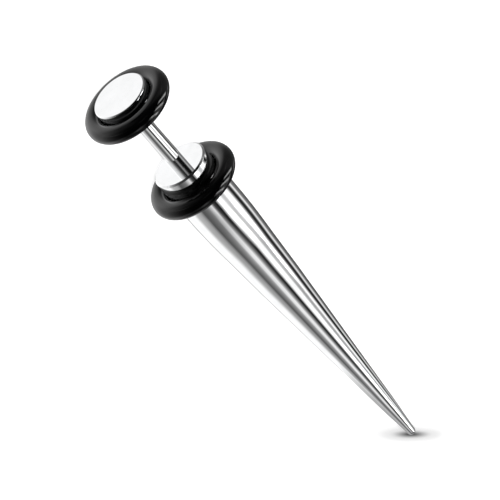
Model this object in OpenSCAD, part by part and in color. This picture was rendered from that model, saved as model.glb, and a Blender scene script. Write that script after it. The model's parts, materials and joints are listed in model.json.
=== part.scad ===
// Faux taper earring for a pierced ear: a head that screws into a long steel taper,
// with a rubber O-ring round each of them.
// Every piece is turned about one axis. Along that axis 0 is the taper's flat face,
// the tip is on the positive side and the head on the negative side. The finished
// earring lies on the ground, on its back O-ring and its tip.

/* [Discs] */
// Diameter of the head's disc and of the taper's straight front
disc_d = 4.2; // [4:0.1:4.8]
// Thickness of the head's disc
head_t = 1.7; // [1.6:0.1:2.5]
// Chamfer round each flat face
chamfer = 0.06; // [0.02:0.01:0.12]

/* [Post] */
// Diameter of the post that passes through the ear
post_d = 1.2; // [1.1:0.1:1.6]
// Length of the post between the disc and the taper
wear_l = 5.9; // [5:0.1:10]
// Outer diameter of the threaded stub on the end of the post
stub_d = 0.9; // [0.7:0.05:1]
// Length of the threaded stub
stub_l = 1.2; // [0.8:0.1:2]

/* [Taper] */
// Length of the taper from its flat face to its tip
taper_l = 29.75; // [22:0.25:40]
// Length of the straight front before the taper narrows
front_l = 3.6; // [3:0.1:5]
// Radius of the long curve that leads from the straight front into the cone
blend_r = 66; // [40:1:90]
// Radius of the rounded tip
tip_r = 0.31; // [0.2:0.01:0.5]

/* [O-rings] */
// Hole through each O-ring
ring_id = 4; // [3.8:0.1:4.1]
// Thickness of each O-ring
ring_t = 1.4; // [1:0.1:1.6]
// Distance from the head's face to the middle of the front O-ring
head_ring_at = 1.15; // [1:0.05:1.2]
// Distance from the taper's face to the middle of the back O-ring
taper_ring_at = 1.8; // [1.2:0.1:2]

/* [Hidden] */
$fn = 96;

steel = [0.79, 0.8, 0.81];
rubber = [0.06, 0.06, 0.065];

seat_gap = 0.02;          // between the post's shoulder and the taper's face
ring_gap = 0.03;          // between an O-ring and its groove
thread_gap = 0.04;        // between the stub and the wall of the threaded hole
hole_spare = 0.4;         // depth of the hole past the stub's end
mouth_chamfer = 0.07;     // of the threaded hole's mouth
pitch = 0.225;            // of the stub's thread, which is drawn as plain ridges
thread_depth = 0.06;
blend_steps = 10;
tip_steps = 12;

disc_r = disc_d / 2;
ring_r = (ring_id + ring_t) / 2;
groove_r = ring_t / 2 + ring_gap;
stub_r = stub_d / 2;
root_r = stub_r - thread_depth;
ridges = floor(stub_l / pitch);
first_ridge = (stub_l - ridges * pitch) / 2;
hole_r = stub_r + thread_gap;
hole_l = stub_l + hole_spare;
head_back = -wear_l;
head_face = head_back - head_t;
front_ring_z = head_face + head_ring_at;
tip_z = taper_l - tip_r;

// The cone is the straight line that touches both the blend's arc and the tip's arc.
blend_x = disc_r - blend_r;
cone_angle = atan2(tip_z - front_l, -blend_x)
    - acos((blend_r - tip_r) / norm([blend_x, tip_z - front_l]));

// The ground touches the back O-ring's section and the rounded tip.
reach = tip_z - taper_ring_at;
tilt = atan2(ring_r, reach) + asin((ring_t / 2 - tip_r) / norm([reach, ring_r]));
face_h = ring_t / 2 + taper_ring_at * sin(tilt) + ring_r * cos(tilt);
x_low = head_face * cos(tilt) - (disc_r - chamfer) * sin(tilt);
x_high = tip_z * cos(tilt) + tip_r;

// Points on an arc about [r, z], from angle a to angle b, counted from the radial line
function arc(r, z, radius, a, b, steps) =
    [for (i = [0:steps])
        let (angle = a + (b - a) * i / steps)
        [r + radius * cos(angle), z + radius * sin(angle)]];

// Lays a piece that was turned about Z down on the ground, with the tip towards +X
module lay_down() {
    translate([-(x_low + x_high) / 2, 0, face_h])
        rotate([0, 90 + tilt, 0])
            children();
}

// A turned steel piece with an O-ring groove round it, from its half outline
module turned(outline, groove_z) {
    rotate_extrude()
        difference() {
            polygon(outline);
            translate([ring_r, groove_z]) circle(groove_r);
        }
}

module o_ring(z) {
    translate([0, 0, z])
        rotate_extrude()
            translate([ring_r, 0]) circle(ring_t / 2);
}

// Disc, post and threaded stub in one piece
module head() {
    outline = concat(
        [
            [0, head_face],
            [disc_r - chamfer, head_face],
            [disc_r, head_face + chamfer],
            [disc_r, head_back - chamfer],
            [disc_r - chamfer, head_back],
            [post_d / 2, head_back],
            [post_d / 2, -seat_gap],
            [root_r, -seat_gap],
            [root_r, first_ridge]
        ],
        [for (i = [1:ridges], half = [0.5, 0])
            [half > 0 ? stub_r : root_r, first_ridge + (i - half) * pitch]],
        [[root_r - first_ridge, stub_l], [0, stub_l]]
    );
    color(steel) lay_down() turned(outline, front_ring_z);
}

module front_o_ring() {
    color(rubber) lay_down() o_ring(front_ring_z);
}

// Straight front with the threaded hole, then the long cone with its round tip
module taper() {
    outline = concat(
        [
            [0, hole_l],
            [hole_r, hole_l],
            [hole_r, mouth_chamfer],
            [hole_r + mouth_chamfer, 0],
            [disc_r - chamfer, 0],
            [disc_r, chamfer]
        ],
        arc(blend_x, front_l, blend_r, 0, cone_angle, blend_steps),
        arc(0, tip_z, tip_r, cone_angle, 90, tip_steps)
    );
    color(steel) lay_down() turned(outline, taper_ring_at);
}

module back_o_ring() {
    color(rubber) lay_down() o_ring(taper_ring_at);
}

head();
front_o_ring();
taper();
back_o_ring();
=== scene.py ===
"""The looks of a faux taper earring: two mirror-polished steel pieces that screw together,
and two rubber O-rings."""
import json
from math import atan2, cos, pi, radians, sin, tan

import bmesh
import bpy
import numpy as np
from mathutils import Matrix, Vector


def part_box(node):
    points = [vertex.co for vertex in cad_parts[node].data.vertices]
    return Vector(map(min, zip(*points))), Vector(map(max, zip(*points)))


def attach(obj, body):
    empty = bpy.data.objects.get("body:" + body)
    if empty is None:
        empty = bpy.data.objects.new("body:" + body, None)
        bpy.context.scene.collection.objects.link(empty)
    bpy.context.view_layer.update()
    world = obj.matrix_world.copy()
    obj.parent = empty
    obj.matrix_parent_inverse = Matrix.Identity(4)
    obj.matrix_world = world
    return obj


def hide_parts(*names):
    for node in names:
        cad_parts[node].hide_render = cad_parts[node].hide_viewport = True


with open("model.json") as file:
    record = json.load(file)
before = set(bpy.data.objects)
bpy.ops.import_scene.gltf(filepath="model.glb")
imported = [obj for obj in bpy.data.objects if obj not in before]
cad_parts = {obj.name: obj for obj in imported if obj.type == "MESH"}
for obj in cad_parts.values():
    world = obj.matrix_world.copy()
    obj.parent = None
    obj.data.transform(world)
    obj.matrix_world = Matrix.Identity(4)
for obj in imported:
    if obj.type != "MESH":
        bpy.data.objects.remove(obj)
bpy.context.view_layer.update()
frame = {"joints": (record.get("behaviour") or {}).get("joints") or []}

# The head: a disc, the straight post that passes through the ear and a threaded stub. It is
# turned from one bar of stainless steel and polished to a mirror.
unscrew = next(joint for joint in frame["joints"] if joint["name"] == "unscrew")
axis = -Vector(unscrew["axis"]).normalized()
side = Vector((0, 1, 0))
above = axis.cross(side)
if above.z < 0:
    above = -above

# Every piece is turned about this axis, which runs from the head to the tip. Lengths along it
# are in metres from the taper's flat face, positive towards the tip.
back_ring_at = 0.0018
front_ring_centre = Vector(unscrew["pos_m"])
back_ring_centre = (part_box("back_o_ring")[0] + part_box("back_o_ring")[1]) / 2
face_centre = back_ring_centre - axis * back_ring_at


def arc(z, r, radius, start, end, steps):
    """Profile points (z, r) on a circle about (z, r): angle 0 points away from the axis and 90
    towards the tip."""
    angle = np.radians(np.linspace(start, end, steps + 1))
    return np.column_stack([z + radius * np.sin(angle), r + radius * np.cos(angle)])


def lathe(name, profile, body, node, around=256, thread=None):
    """A surface turned about the axis: the point at (z, angle) is the face's centre plus z along
    the axis plus r(z) times the unit vector at that angle. thread(z, r, angle) is added to r
    everywhere but on the axis, for a helical ridge."""
    z, r = np.asarray(profile, float).T
    closed_loop = abs(z[0] - z[-1]) + abs(r[0] - r[-1]) < 1e-9
    if closed_loop:
        z, r = z[:-1], r[:-1]
    angle = np.linspace(0, 2 * pi, around, endpoint=False)
    zz, aa = np.meshgrid(z, angle, indexing="ij")
    rr = np.repeat(r[:, None], around, 1)
    if thread is not None:
        rr = rr + thread(zz, rr, aa) * (rr > 1e-7)
    out = np.cos(aa)[..., None] * np.array(above) + np.sin(aa)[..., None] * np.array(side)
    co = np.array(face_centre) + zz[..., None] * np.array(axis) + rr[..., None] * out
    n = len(z)
    row = np.arange(n if closed_loop else n - 1)
    i, j = np.meshgrid(row, np.arange(around), indexing="ij")
    i2, j2 = (i + 1) % n, (j + 1) % around
    quads = np.stack(
        [i * around + j, i2 * around + j, i2 * around + j2, i * around + j2], -1).reshape(-1, 4)
    mesh = bpy.data.meshes.new(name)
    mesh.from_pydata(co.reshape(-1, 3).tolist(), [], quads.tolist())
    piece = bpy.data.objects.new(name, mesh)
    bpy.context.scene.collection.objects.link(piece)
    weld_and_face_out(mesh)
    mesh.set_sharp_from_angle(angle=radians(15))
    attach(piece, body)
    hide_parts(node)
    return piece


def weld_and_face_out(mesh):
    """Joins the points that meet at a pole on the axis, and turns every face outwards."""
    bm = bmesh.new()
    bm.from_mesh(mesh)
    bmesh.ops.remove_doubles(bm, verts=bm.verts, dist=1e-8)
    bmesh.ops.recalc_face_normals(bm, faces=bm.faces)
    for face in bm.faces:
        face.smooth = True
    bm.to_mesh(mesh)
    bm.free()


disc_r = 0.0021
head_face = -0.00753
head_back = -0.0059
back_edge = 0.00009
front_ring_z = (front_ring_centre - face_centre).dot(axis)
ring_mid_r = 0.00274
groove_r = 0.000682

# The post ends in a shoulder at seat, just off the taper's face, and the stub goes on from it.
# Each root, edge and end is the size of the small chamfer there, or of the plain bit beside it.
post_r = 0.0006
post_root = 0.00001
seat = -0.000002
seat_edge = 0.000004
stub_r = 0.00045
stub_l = 0.0012
stub_root = 0.00002
stub_end_along = 0.00006
stub_end_across = 0.00007

# The thread leaves thread_free plain at either end. It is cut only where the wall is no wider
# than wall_margin times the stub or the hole.
pitch = 0.000225
thread_depth = 0.00006
thread_free = 0.0001
wall_margin = 1.01


def rim(face, width, inner_round, outer_round):
    """A 45 degree chamfer between the flat face at z = face and the wall, with both of its corners
    rounded. Points just beyond each round keep the flats beside it flat when they are shaded."""
    short = tan(radians(22.5))
    inner_r = disc_r - width - inner_round * short
    inner = arc(face + inner_round, inner_r, inner_round, -90, -45, steps=6)
    outer_z = face + width + outer_round * short
    outer = arc(outer_z, disc_r - outer_round, outer_round, -45, 0, steps=10)
    beside = 0.000005
    down_the_slope = np.array([beside, beside]) * 0.7
    return np.vstack([
        inner[0] - [0, beside],
        inner,
        inner[-1] + down_the_slope,
        outer[0] - down_the_slope,
        outer,
        outer[-1] + [beside, 0],
    ])


def groove(z):
    """The part of a groove's circle that lies inside the disc's wall, from the front lip to the
    back lip."""
    lip = np.degrees(np.arccos((ring_mid_r - disc_r) / groove_r))
    return arc(z, ring_mid_r, groove_r, 180 + lip, 180 - lip, steps=24)


def stub_thread(z, r, angle):
    """A ridge that winds round the stub: its height follows a triangle wave along the helix."""
    turn = (z / pitch + angle / (2 * pi)) % 1
    inside = (z > thread_free) & (z < stub_l - thread_free) & (r < stub_r * wall_margin)
    return -thread_depth * np.abs(2 * turn - 1) * inside


head_profile = np.vstack([
    [[head_face, 0], [head_face, disc_r * 0.5], [head_face, disc_r * 0.9]],
    rim(head_face, width=0.00008, inner_round=0.00005, outer_round=0.00012),
    groove(front_ring_z),
    arc(head_back - back_edge, disc_r - back_edge, back_edge, 0, 90, steps=8),
    [[head_back, disc_r - back_edge * 1.2]],
    [[head_back, post_r + post_root], [head_back + post_root, post_r]],
    [[seat - seat_edge, post_r], [seat, post_r - seat_edge], [seat, stub_r]],
    [[z, stub_r] for z in np.linspace(seat + stub_root, stub_l - stub_end_along, 60)],
    [[stub_l, stub_r - stub_end_across], [stub_l, 0]],
])
head = lathe("head_steel", head_profile, "head", "head", thread=stub_thread)


def polished_steel():
    """Mirror-polished stainless steel: a very faint cloudy haze in the gloss and the colour, left
    by the buffing."""
    material = bpy.data.materials.new("polished_steel")
    material.use_nodes = True
    nodes, links = material.node_tree.nodes, material.node_tree.links
    shader = nodes["Principled BSDF"]
    shader.inputs["Metallic"].default_value = 1
    coords = nodes.new("ShaderNodeTexCoord")
    haze = nodes.new("ShaderNodeTexNoise")
    haze.inputs["Scale"].default_value = 900
    haze.inputs["Detail"].default_value = 4
    links.new(coords.outputs["Object"], haze.inputs["Vector"])
    gloss = nodes.new("ShaderNodeMapRange")
    gloss.inputs["To Min"].default_value = 0.03
    gloss.inputs["To Max"].default_value = 0.07
    links.new(haze.outputs["Fac"], gloss.inputs["Value"])
    links.new(gloss.outputs["Result"], shader.inputs["Roughness"])
    tint = nodes.new("ShaderNodeValToRGB")
    tint.color_ramp.elements[0].position = 0.3
    tint.color_ramp.elements[0].color = (0.83, 0.835, 0.84, 1)
    tint.color_ramp.elements[1].position = 0.7
    tint.color_ramp.elements[1].color = (0.89, 0.893, 0.9, 1)
    links.new(haze.outputs["Fac"], tint.inputs["Fac"])
    links.new(tint.outputs["Color"], shader.inputs["Base Color"])
    return material


steel = polished_steel()
head.data.materials.append(steel)


# The taper: a short cylinder with a flat face and a threaded hole, which bends softly into
# a long straight cone with a small round tip. The same polished steel as the head.
front_l = 0.0036
blend_r = 0.066
tip_r = 0.00031
taper_l = 0.02975

# The hole has a chamfer at its end and a wider one at its mouth, and its thread leaves both free.
hole_r = 0.00049
hole_l = 0.0016
hole_end = 0.00001
hole_root = 0.00005
mouth = 0.00007
mouth_edge = 0.00002
hole_thread_from = 0.00009
hole_thread_depth = 0.00003

# The bend and the tip are circles in the profile, and the cone is the straight line that touches
# both, at cone degrees to the axis.
tip_z = taper_l - tip_r
blend_x = disc_r - blend_r
between_centres = np.hypot(blend_x, tip_z - front_l)
cone = np.degrees(
    atan2(tip_z - front_l, -blend_x) - np.arccos((blend_r - tip_r) / between_centres))
blend_end = [front_l + blend_r * sin(radians(cone)), blend_x + blend_r * cos(radians(cone))]
tip_start = [tip_z + tip_r * sin(radians(cone)), tip_r * cos(radians(cone))]


def hole_thread(z, r, angle):
    """The thread in the hole: along the same helix, the wall comes in where the stub's ridge is
    lowest."""
    turn = (z / pitch + angle / (2 * pi)) % 1
    inside = (z > hole_thread_from) & (z < hole_l - thread_free) & (r < hole_r * wall_margin)
    return -hole_thread_depth * np.abs(2 * turn - 1) * inside


taper_profile = np.vstack([
    [[hole_l, 0], [hole_l, hole_r - hole_end], [hole_l - hole_end, hole_r]],
    [[z, hole_r] for z in np.linspace(hole_l - hole_root, mouth + hole_end, 60)],
    [[mouth, hole_r], [0, hole_r + mouth], [0, hole_r + mouth + mouth_edge]],
    [[0, disc_r * 0.6], [0, disc_r * 0.9]],
    rim(0, width=0.00012, inner_round=0.00002, outer_round=0.00002),
    groove(back_ring_at),
    [[z, disc_r] for z in np.linspace(back_ring_at + groove_r, front_l - 0.0002, 4)],
    arc(front_l, blend_x, blend_r, 0, cone, steps=48),
    [(1 - t) * np.array(blend_end) + t * np.array(tip_start) for t in np.linspace(0.03, 0.97, 30)],
    arc(tip_z, 0, tip_r, cone, 90, steps=16),
])
taper_profile[-1, 1] = 0


def ramp(value, start, end):
    """A share that goes evenly from 0 at start to 1 at end, and stays at either beyond them."""
    return np.clip((value - start) / (end - start), 0, 1)


# The real cone is a little fuller than a straight one: by an amount that grows softly from
# fuller_from to fuller_to, and goes back to nothing over the last fuller_ends before the tip.
fuller_by = 0.000044
fuller_from = 0.0084
fuller_to = 0.0134
fuller_ends = 0.003
grown = ramp(taper_profile[:, 0], fuller_from, fuller_to)
left = ramp(tip_z - taper_profile[:, 0], 0, fuller_ends)
taper_profile[:, 1] += fuller_by * grown**2 * (3 - 2 * grown) * left**2 * (3 - 2 * left)
taper = lathe("taper_steel", taper_profile, "taper", "taper", thread=hole_thread)
taper.data.materials.append(steel)


# The O-rings: round cord rings, 1.4 mm thick, moulded in glossy black rubber. Each is stretched
# into a shallow groove, the front one round the head's disc, the back one round the taper.
ring_r = 0.00068


def rubber():
    """Glossy black rubber: a near-black base, a slightly uneven sheen and a very fine moulded
    grain."""
    material = bpy.data.materials.new("black_rubber")
    material.use_nodes = True
    nodes, links = material.node_tree.nodes, material.node_tree.links
    shader = nodes["Principled BSDF"]
    shader.inputs["Base Color"].default_value = (0.0008, 0.0008, 0.0009, 1)
    shader.inputs["IOR"].default_value = 1.5
    coords = nodes.new("ShaderNodeTexCoord")
    grain = nodes.new("ShaderNodeTexNoise")
    grain.inputs["Scale"].default_value = 9000
    grain.inputs["Detail"].default_value = 2
    links.new(coords.outputs["Object"], grain.inputs["Vector"])
    sheen = nodes.new("ShaderNodeTexNoise")
    sheen.inputs["Scale"].default_value = 600
    sheen.inputs["Detail"].default_value = 3
    links.new(coords.outputs["Object"], sheen.inputs["Vector"])
    gloss = nodes.new("ShaderNodeMapRange")
    gloss.inputs["To Min"].default_value = 0.08
    gloss.inputs["To Max"].default_value = 0.14
    links.new(sheen.outputs["Fac"], gloss.inputs["Value"])
    links.new(gloss.outputs["Result"], shader.inputs["Roughness"])
    bump = nodes.new("ShaderNodeBump")
    bump.inputs["Strength"].default_value = 0.015
    bump.inputs["Distance"].default_value = 0.00001
    links.new(grain.outputs["Fac"], bump.inputs["Height"])
    links.new(bump.outputs["Normal"], shader.inputs["Normal"])
    return material


black_rubber = rubber()
for name, node, body, z in (
    ("front_o_ring_rubber", "front_o_ring", "front_o_ring", front_ring_z),
    ("back_o_ring_rubber", "back_o_ring", "taper", back_ring_at),
):
    section = arc(z, ring_mid_r, ring_r, 0, 360, steps=72)
    section[-1] = section[0]
    o_ring = lathe(name, section, body, node)
    o_ring.data.materials.append(black_rubber)

# The camera looks past the head towards the tip, from above, with a very long lens. The
# angle between the view and the axis, the turn about the axis and the slant of the axis in
# the picture are the photo's.
view_angle = radians(57.7)
turn_about_axis = radians(12)
slant = radians(48.92)
mm_per_pixel = 0.07
frame_px = 500
lens_mm = 1600
sensor_mm = 36
back_ring_px = (193.15, 180.6)

towards = cos(turn_about_axis) * above - sin(turn_about_axis) * side
across = towards.cross(axis)
view = cos(view_angle) * axis - sin(view_angle) * towards
along = (axis - view * cos(view_angle)) / sin(view_angle)
right = cos(slant) * along + sin(slant) * across
up = -sin(slant) * along + cos(slant) * across
scale = mm_per_pixel / 1000
middle = (
    back_ring_centre
    - right * (back_ring_px[0] - frame_px / 2) * scale
    + up * (back_ring_px[1] - frame_px / 2) * scale
)
distance = frame_px * scale * lens_mm / sensor_mm
camera_data = bpy.data.cameras.new("camera")
camera = bpy.data.objects.new("camera", camera_data)
bpy.context.scene.collection.objects.link(camera)
camera_data.lens = lens_mm
camera_data.clip_start, camera_data.clip_end = 0.1, 5
facing = Matrix((right, up, -view)).transposed().to_4x4()
camera.matrix_world = Matrix.Translation(middle - view * distance) @ facing
bpy.context.scene.camera = camera

# The studio: a white table, lit softly from above and a little from below, as a light table is.
# Under the tip a soft shadow is painted into the table's colour and glow. The painted shadow is
# an ellipse in the picture, and its long way and two half widths on the table follow from how
# the picture shows the table.
shadow_px = (411, 434.3)
shadow_half_px = (60, 13)
towards_shadow = (
    view * distance
    + right * (shadow_px[0] - frame_px / 2) * scale
    - up * (shadow_px[1] - frame_px / 2) * scale
)
shadow_centre = camera.location - towards_shadow * (camera.location.z / towards_shadow.z)
in_picture = np.array([right[:2], up[:2]]) / (np.array(shadow_half_px)[:, None] * scale)
_, narrowness, (_, long_way) = np.linalg.svd(in_picture)
floor_size = 3.0
floor_corners = ((-1, -1), (1, -1), (1, 1), (-1, 1))
floor_data = bpy.data.meshes.new("floor")
floor_data.from_pydata(
    [(x * floor_size, y * floor_size, 0) for x, y in floor_corners], [], [(0, 1, 2, 3)])
floor = bpy.data.objects.new("floor", floor_data)
bpy.context.scene.collection.objects.link(floor)
floor_material = bpy.data.materials.new("white_table")
floor_material.use_nodes = True
floor_nodes, floor_links = floor_material.node_tree.nodes, floor_material.node_tree.links
floor_shader = floor_nodes["Principled BSDF"]
floor_shader.inputs["Roughness"].default_value = 0.7
floor_shader.inputs["Emission Strength"].default_value = 0.65
# Painted shadow: a soft dark ellipse under the tip, painted into the table's colour and glow.
painted_contact_shadow = floor_nodes.new("ShaderNodeTexGradient")
painted_contact_shadow.gradient_type = "SPHERICAL"
place = floor_nodes.new("ShaderNodeMapping")
place.vector_type = "TEXTURE"
place.inputs["Location"].default_value = shadow_centre
place.inputs["Rotation"].default_value = (0, 0, atan2(long_way[1], long_way[0]))
place.inputs["Scale"].default_value = (1 / narrowness[1], 1 / narrowness[0], 1)
floor_coords = floor_nodes.new("ShaderNodeTexCoord")
shade = floor_nodes.new("ShaderNodeValToRGB")
shade.color_ramp.interpolation = "EASE"
shade.color_ramp.elements[0].color = (1, 1, 1, 1)
shade.color_ramp.elements[1].color = (0.04, 0.04, 0.04, 1)
for position, level in ((0.4, 0.71), (0.6, 0.6)):
    shade.color_ramp.elements.new(position).color = (level, level, level, 1)
floor_links.new(floor_coords.outputs["Object"], place.inputs["Vector"])
floor_links.new(place.outputs["Vector"], painted_contact_shadow.inputs["Vector"])
floor_links.new(painted_contact_shadow.outputs["Fac"], shade.inputs["Fac"])
floor_links.new(shade.outputs["Color"], floor_shader.inputs["Base Color"])
floor_links.new(shade.outputs["Color"], floor_shader.inputs["Emission Color"])
floor_data.materials.append(floor_material)
floor.visible_glossy = False

sky = bpy.data.worlds.new("pale_room")
sky.use_nodes = True
sky.node_tree.nodes["Background"].inputs["Color"].default_value = (0.5, 0.5, 0.5, 1)
bpy.context.scene.world = sky
key_data = bpy.data.lights.new("soft_key", "AREA")
key_data.shape = "DISK"
key_data.size = 0.5
key_data.energy = 1.0
key = bpy.data.objects.new("soft_key", key_data)
bpy.context.scene.collection.objects.link(key)
key.location = (-0.12, -0.1, 0.5)
key.rotation_euler = Vector(key.location).to_track_quat("Z", "Y").to_euler()
key.visible_glossy = False

# What the polished steel and the glossy rubber mirror: a dim room with a bright table below,
# a few paler walls, and three long lamps side by side. It is a sphere that only mirrors see.

# Each list gives the brightness by the degrees round the axis, from the side that faces the
# camera towards its right. The first three are what the cone, its bend and the straight parts
# mirror. The last gives the share of the brightness that is left past the tip.
seen_by_cone = [
    (-180, 0.4), (-155, 0.6), (-142, 1.15), (-98, 1.15), (-89, 0.97), (-81, 0.6), (-74, 0.4),
    (-66, 0.37), (-60, 0.24), (-54, 0.11), (-47, 0.15), (-36, 0.28), (-29, 0.42), (-23, 0.88),
    (-12, 1), (-6, 0.53), (1, 0.2), (12, 0), (17, 0.03), (22, 0.55), (27, 1.15), (45, 1.15),
    (48, 0.9), (52, 0.5), (59, 0.36), (64, 0.5), (68, 0.8), (72, 1.15), (77, 1.15), (82, 0.6),
    (88, 0.06), (95, 0), (103, 0.05), (108, 0.5), (113, 1), (119, 0.6), (125, 0.22),
    (142, 0.08), (180, 0.15),
]
seen_by_bend = [
    (-180, 0.4), (-155, 0.6), (-145, 1.15), (-98, 1.15), (-84, 0.5), (-66, 0.38), (-54, 0.09),
    (-30, 0.2), (-23, 0.5), (-12, 0.7), (-6, 0.25), (0, 0.1), (5, 0.01), (11, 0.03), (16, 0.65),
    (21, 1.3), (38, 1.3), (43, 0.8), (48, 0.5), (54, 0.8), (60, 1.2), (80, 1.2), (85, 0.6),
    (91, 0.08), (97, 0), (106, 0.06), (111, 0.5), (116, 1.1), (121, 0.6), (128, 0.25),
    (145, 0.08), (180, 0.15),
]
seen_by_straight = [
    (-180, 0.4), (-155, 0.6), (-145, 1.15), (-98, 1.15), (-84, 0.56), (-74, 0.48), (-66, 0.4),
    (-60, 0.28), (-54, 0.11), (-47, 0.11), (-41, 0.14), (-34, 0.17), (-27, 0.25), (-20, 0.52),
    (-11, 0.84), (-6, 0.26), (-1, 0.06), (11, 0), (17, 0.5), (23, 1.5), (34, 1.5), (40, 1),
    (46, 0.66), (52, 0.62), (57, 0.9), (61, 1.25), (70, 1.4), (79, 1.25), (84, 0.62), (90, 0.1),
    (97, 0), (103, 0.04), (106, 0.16), (111, 0.55), (116, 1.1), (121, 0.55), (128, 0.22),
    (150, 0.1), (180, 0.15),
]
elsewhere = [
    (-180, 1.1), (-170, 1.3), (-150, 1.5), (-135, 1.25), (-120, 1), (-110, 0.95), (-100, 0.65),
    (-90, 0.42), (-75, 0.15), (-60, 0.04), (-45, 0), (60, 0), (75, 0.08), (90, 0.22),
    (105, 0.2), (120, 0.15), (140, 0.2), (150, 0.4), (160, 0.75), (170, 1), (180, 1.1),
]
past_the_head = [
    (-180, 0.8), (-160, 0.45), (-140, 0.25), (-120, 0.15), (-80, 0.14), (-60, 0.09),
    (-30, 0.08), (-12, 0.03), (0, 0.02), (55, 0.02), (80, 0.1), (120, 0.08), (140, 0.3),
    (155, 0.6), (170, 0.85), (180, 0.8),
]
past_the_tip = [
    (-160, 0.8), (-120, 0.5), (-95, 0.2), (20, 0.15), (40, 0.25), (60, 0.7), (80, 0.5), (100, 0.2),
]

# The directions, in degrees from the tip's, that the cone and the straight parts mirror, and how
# far from them the lamps begin.
cone_mirrors, clear_of_cone = 48.7, 1.2
straight_mirrors, clear_of_straight = 57.7, 1

# The lamps lie slanted over both angles. Each has its two edges in degrees across, and all have
# the same length in degrees along and fade at their edges, their starts and their ends.
slant_across, across_from = 0.93, 50
slant_along, along_from = 0.95, 48
lamps = [(29, 45), (64, 81), (98, 114)]
lamp_l = 72
lamp_edge, lamp_start, lamp_end = 5, 8, 10
lamp_glow = 6
room_r = 0.5


def room_glow(from_tip, round_axis):
    """Brightness in a direction. Up to 60 degrees from the tip it changes from what the cone
    mirrors to what the bend and then the straight parts mirror, and is darker past the tip. From
    64 degrees it is the rest of the room, darker behind the earring, which changes to the list
    past the head and goes dark close round the head's own direction. The lamps are added, but
    not where the cone and the straight parts mirror."""
    cone, bend, straight, rest, head_end, tip_end = (
        np.interp(round_axis, *np.transpose(walls)) for walls in (
            seen_by_cone, seen_by_bend, seen_by_straight, elsewhere, past_the_head, past_the_tip))
    rest = rest + ramp(from_tip, 125, 155) * (head_end - rest)
    rest = rest * np.maximum(ramp(from_tip, 172, 164), 0.06)
    polar, round_back = np.radians(from_tip), np.radians(round_axis - 180)
    behind = np.degrees(np.arccos(np.clip(
        np.cos(polar) * cos(view_angle) + np.sin(polar) * sin(view_angle) * np.cos(round_back),
        -1, 1)))
    rest = rest * (0.35 + 0.65 * ramp(behind, 15, 45))
    walls = cone + ramp(from_tip, 49, 55) * (bend - cone)
    walls = walls + ramp(from_tip, 55.5, 57) * (straight - walls)
    walls = walls + ramp(from_tip, 60, 64) * (rest - walls)
    walls = walls * (tip_end + (1 - tip_end) * ramp(from_tip, 38, 46))
    across_lamps = from_tip + slant_across * (round_axis - across_from)
    along_lamps = along_from + slant_along * round_axis - from_tip
    lit = lamp_glow * ramp(along_lamps, 0, lamp_start)
    lit = lit * ramp(along_lamps, lamp_l, lamp_l - lamp_end)
    lit = lit * np.clip(abs(from_tip - cone_mirrors) - clear_of_cone, 0, 1)
    lit = lit * np.clip(abs(from_tip - straight_mirrors) - clear_of_straight, 0, 1)
    for low, high in lamps:
        left_edge = ramp(across_lamps, low, low + lamp_edge)
        right_edge = ramp(across_lamps, high, high - lamp_edge)
        walls = walls + lit * left_edge * right_edge
    return walls


def around_axis(z, r, round_axis):
    """Points by z along the axis, r from it and the degrees round it, from the side that faces
    the camera."""
    turn = np.radians(round_axis)[..., None]
    return np.array(face_centre) + z[..., None] * np.array(axis) + r[..., None] * (
        np.cos(turn) * np.array(towards) + np.sin(turn) * np.array(across))


def glowing_surface(name, points, glow):
    """A surface through a grid of points that gives off glow at each point. Only mirrors see it."""
    rows, columns = glow.shape
    i, j = np.meshgrid(np.arange(rows - 1), np.arange(columns - 1), indexing="ij")
    quads = (i * columns + j)[..., None] + (0, 1, columns + 1, columns)
    mesh = bpy.data.meshes.new(name)
    mesh.from_pydata(points.reshape(-1, 3).tolist(), [], quads.reshape(-1, 4).tolist())
    mesh.attributes.new("glow", "FLOAT", "POINT").data.foreach_set("value", glow.ravel())
    surface = bpy.data.objects.new(name, mesh)
    bpy.context.scene.collection.objects.link(surface)
    material = bpy.data.materials.new(name)
    material.use_nodes = True
    nodes, links = material.node_tree.nodes, material.node_tree.links
    nodes.clear()
    value = nodes.new("ShaderNodeAttribute")
    value.attribute_name = "glow"
    shine = nodes.new("ShaderNodeEmission")
    output = nodes.new("ShaderNodeOutputMaterial")
    links.new(value.outputs["Fac"], shine.inputs["Strength"])
    links.new(shine.outputs["Emission"], output.inputs["Surface"])
    mesh.materials.append(material)
    surface.visible_camera = False
    surface.visible_diffuse = False
    surface.visible_shadow = False


from_tip, round_axis = np.meshgrid(
    np.linspace(0, 180, 361), np.linspace(-180, 180, 361), indexing="ij")
polar = np.radians(from_tip)
room_points = around_axis(room_r * np.cos(polar), room_r * np.sin(polar), round_axis)
glowing_surface("room", room_points, room_glow(from_tip, round_axis))

# Narrow curved strips near the earring: one that the post mirrors by way of the taper's face,
# and two that it mirrors along its left and right edges.

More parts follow.
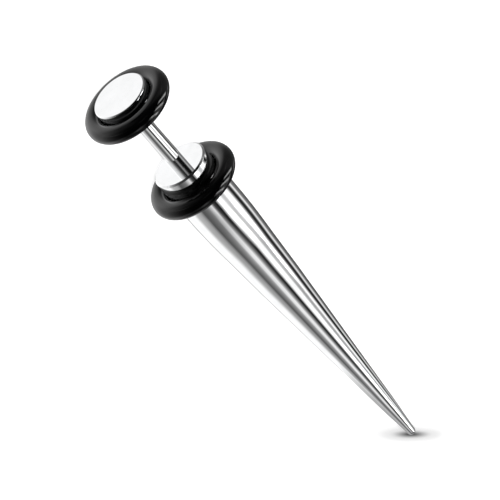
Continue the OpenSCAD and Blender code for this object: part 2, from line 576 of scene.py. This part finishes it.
# Each has its place along the axis, the distances from the axis between which its beam crosses
# the plane of the taper's face, and the brightness by the degrees round the axis.
strips = [
    ("strip_before", -0.0214, -0.0012, 0.0031, [
        (-125, 1), (-105, 0.98), (-89, 0.85), (-75, 0.72), (-62, 0.45), (-50, 0.18),
        (-38, 0.08), (-25, 0.02), (-13, 0.04), (-4, 0.26), (4, 0.3), (11, 0.22), (20, 0.05),
        (30, 0.01), (58, 0), (66, 0.03), (74, 0.08), (82, 0.5), (90, 0.6), (98, 0.35),
        (108, 0.22), (125, 0.25),
    ]),
    ("strip_left", 0.02, 0.0025, 0.0092, [(-160, 0.6), (-150, 0.75), (-125, 0.92), (-100, 0.95)]),
    ("strip_right", 0.02, 0.0025, 0.0092, [
        (73, 1.1), (77, 0.8), (81, 0.25), (85, 0), (98, 0.04), (106, 0.2), (116, 0.36),
        (126, 0.2), (150, 0.12),
    ]),
]
for name, z, low, high, brightness in strips:
    first, last = brightness[0][0], brightness[-1][0]
    leaves, round_axis = np.meshgrid(
        np.linspace(low, high, 3), np.linspace(first, last, 101), indexing="ij")
    shift = (leaves - (low + high) / 2) * cos(view_angle)
    strip_z = z - np.sign(z) * shift * sin(view_angle)
    strip_r = (low + high) / 2 + abs(z) * tan(view_angle) + shift * cos(view_angle)
    glow = np.interp(round_axis, *np.transpose(brightness))
    glowing_surface(name, around_axis(strip_z, strip_r, round_axis), glow)

# A painted reflection of the shaded table round the tip, as the steel near the tip mirrors it: half
# a round glowing patch on each side, just above the table, that only mirrors see.
tip_foot = face_centre + axis * tip_z
patch_height = 0.00001
reach, turn = np.meshgrid(
    np.linspace(0, 1, 13), np.radians(np.linspace(0, 180, 49)), indexing="ij")
for name, radius, glow in (
    ("shaded_table_left", -0.007, 0.42 + 0.65 * reach**3),
    ("shaded_table_right", 0.0025, 0.3 - 0.15 * reach),
):
    height = np.full_like(reach, patch_height)
    patch = np.stack([radius * reach * np.cos(turn), radius * reach * np.sin(turn), height], -1)
    glowing_surface(name, patch + (tip_foot.x, tip_foot.y, 0), glow)

bpy.context.scene.view_settings.view_transform = "Standard"
